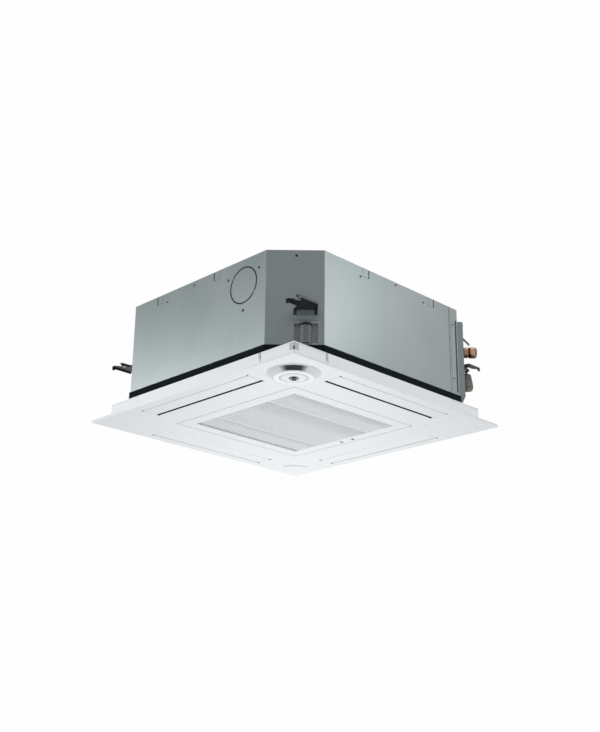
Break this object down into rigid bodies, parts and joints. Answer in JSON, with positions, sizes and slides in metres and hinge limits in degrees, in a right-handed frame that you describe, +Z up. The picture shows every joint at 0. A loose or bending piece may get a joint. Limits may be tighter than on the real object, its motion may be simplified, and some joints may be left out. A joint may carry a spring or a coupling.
{
  "type": "ceiling cassette air conditioner",
  "caption": "Square flush ceiling panel with slotted intake grille, swinging air vanes and round sensor, under a cut-cornered steel casing with turbo fan, coil, drain pump and brackets.",
  "frame": {"origin": "centre of the plane where the panel's lip meets the ceiling", "axes": "+Z up into the ceiling void, -Y the front, -X the side with the fresh air knock-out; the pipes leave at the front right corner, between -Y and +X"},
  "size_m": [0.95, 0.95, 0.4155],
  "materials": {
    "panel_plastic": "satin moulded white",
    "grille_plastic": "satin moulded, slightly greyer than the panel",
    "filter_net": "matt dark net",
    "dark_lens": "dark gloss",
    "motor_steel": "satin zinc",
    "black_foam": "matt closed-cell foam",
    "plated_steel": "zinc plated",
    "casing_sheet": "satin galvanised sheet",
    "white_foam": "matt beaded foam",
    "bracket_steel": "dark zinc",
    "dark_plastic": "matt moulded",
    "black_rubber": "matt",
    "fin_aluminium": "fine fins",
    "copper": "drawn copper",
    "nut_brass": "turned brass",
    "grey_plastic": "matt moulded",
    "fan_plastic": "matt moulded"
  },
  "bodies": {
    "chassis": {"base_frame": "casing_sheet", "bell_mouth": "dark_plastic", "bracket_back_left": "bracket_steel", "bracket_back_right": "bracket_steel", "bracket_front_left": "bracket_steel", "bracket_front_right": "bracket_steel", "bracket_screws": "plated_steel", "casing_back_right": "casing_sheet", "casing_front_left": "casing_sheet", "casing_screws": "plated_steel", "coil_ends": "casing_sheet", "coil_fins": "fin_aluminium", "control_box": "casing_sheet", "control_lid": "casing_sheet", "cover_back_left": "panel_plastic", "cover_back_right": "panel_plastic", "cover_front_left": "panel_plastic", "cover_front_right": "panel_plastic", "drain_hose": "black_rubber", "drain_pan": "white_foam", "drain_pump": "dark_plastic", "drain_socket": "grey_plastic", "fan_motor": "motor_steel", "gas_line": "copper", "gas_nut": "nut_brass", "liner": "white_foam", "liquid_line": "copper", "liquid_nut": "nut_brass", "motor_mount": "casing_sheet", "motor_rubbers": "black_rubber", "panel_bolts": "plated_steel", "panel_frame": "panel_plastic", "panel_seal": "black_foam", "pipe_corner_sheet": "casing_sheet", "pipe_cover": "casing_sheet", "port_pocket": "dark_plastic", "port_sleeve": "dark_plastic", "pump_bracket": "casing_sheet", "rubber_caps": "black_rubber", "sensor_base": "panel_plastic", "sensor_motor": "motor_steel", "sensor_window": "dark_lens", "top_plate": "casing_sheet", "vane_motors": "motor_steel"},
    "fan": {"turbo_fan": "fan_plastic", "fan_shroud": "fan_plastic", "motor_shaft": "plated_steel", "fan_nut": "plated_steel"},
    "vane_front": {"vane_front": "panel_plastic"},
    "vane_right": {"vane_right": "panel_plastic"},
    "vane_back": {"vane_back": "panel_plastic"},
    "vane_left": {"vane_left": "panel_plastic"},
    "grille": {"intake_grille": "grille_plastic", "air_filter": "filter_net"},
    "latch_front": {"latch_front": "grille_plastic"},
    "latch_back": {"latch_back": "grille_plastic"},
    "sensor_head": {"sensor_turret": "panel_plastic", "sensor_lens": "dark_lens"},
    "pump_rotor": {"pump_impeller": "grey_plastic"},
    "float": {"pump_float": "grey_plastic"}
  },
  "joints": [
    {"name": "fan_spin", "type": "hinge", "parent": "chassis", "child": "fan", "pos_m": [0, 0, 0.2], "axis": [0, 0, 1], "continuous": true},
    {"name": "vane_front_swing", "type": "hinge", "parent": "chassis", "child": "vane_front", "pos_m": [0, -0.392, 0.001], "axis": [1, 0, 0], "range_deg": [0, 65]},
    {"name": "vane_right_swing", "type": "hinge", "parent": "chassis", "child": "vane_right", "pos_m": [0.392, 0, 0.001], "axis": [0, 1, 0], "range_deg": [0, 65]},
    {"name": "vane_back_swing", "type": "hinge", "parent": "chassis", "child": "vane_back", "pos_m": [0, 0.392, 0.001], "axis": [-1, 0, 0], "range_deg": [0, 65]},
    {"name": "vane_left_swing", "type": "hinge", "parent": "chassis", "child": "vane_left", "pos_m": [-0.392, 0, 0.001], "axis": [0, -1, 0], "range_deg": [0, 65]},
    {"name": "grille_hinge", "type": "hinge", "parent": "chassis", "child": "grille", "pos_m": [-0.253, 0, 0.001], "axis": [0, 1, 0], "range_deg": [0, 90]},
    {"name": "latch_front_slide", "type": "slide", "parent": "grille", "child": "latch_front", "axis": [-1, 0, 0], "range_m": [0, 0.006], "stiffness_N_per_m": 500},
    {"name": "latch_back_slide", "type": "slide", "parent": "grille", "child": "latch_back", "axis": [-1, 0, 0], "range_m": [0, 0.006], "stiffness_N_per_m": 500},
    {"name": "sensor_turn", "type": "hinge", "parent": "chassis", "child": "sensor_head", "pos_m": [-0.36, -0.36, 0], "axis": [0, 0, 1], "range_deg": [-165, 165]},
    {"name": "pump_spin", "type": "hinge", "parent": "chassis", "child": "pump_rotor", "pos_m": [0.35704, -0.33159, 0.11], "axis": [0, 0, 1], "continuous": true},
    {"name": "float_rise", "type": "slide", "parent": "chassis", "child": "float", "axis": [0, 0, 1], "range_m": [0, 0.008]}
  ]
}
